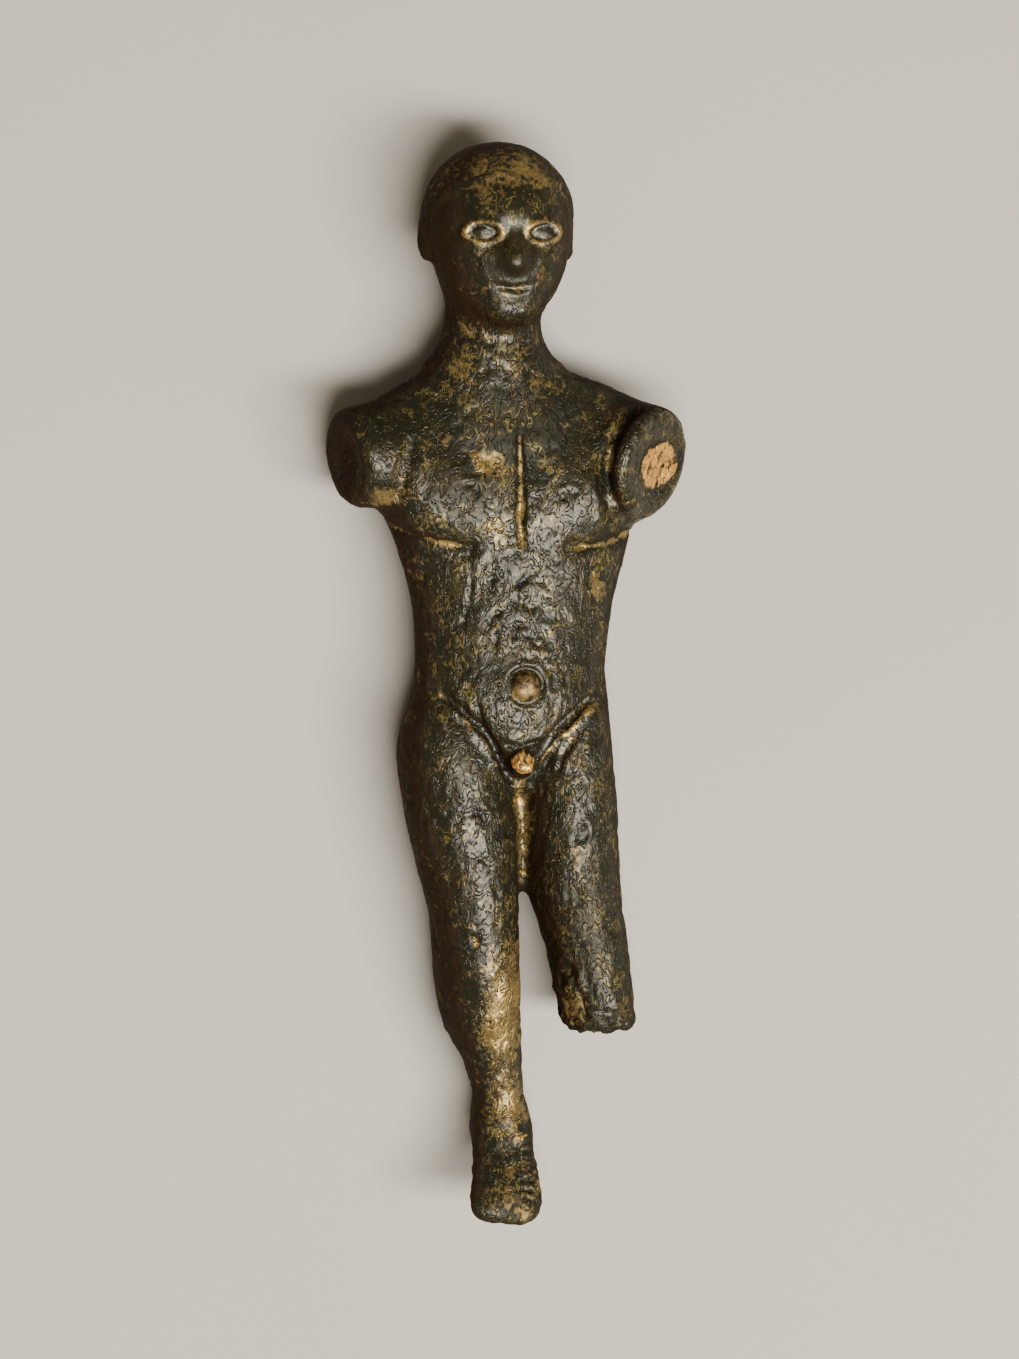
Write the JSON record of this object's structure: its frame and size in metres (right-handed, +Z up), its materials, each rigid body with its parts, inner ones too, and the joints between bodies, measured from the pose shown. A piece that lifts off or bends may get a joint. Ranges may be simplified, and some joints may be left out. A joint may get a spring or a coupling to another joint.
{
  "type": "bronze votive figurine",
  "caption": "Small solid-cast bronze worshipper lying on its back, with a close hair cap, gouged body lines and broken arms and leg; a votive offering to lay or show.",
  "frame": {"origin": "middle of the bounding box, on the surface that the figure lies on", "axes": "+Y along the body towards the crown, +Z up through the chest, +X towards the figure's left"},
  "size_m": [0.0364, 0.108, 0.0177],
  "materials": {
    "bronze": "cast tin bronze with a dark green-brown waxed patina, golden in the creases and on bare spots"
  },
  "bodies": {
    "root": {"votive_figurine": "bronze"}
  },
  "joints": []
}
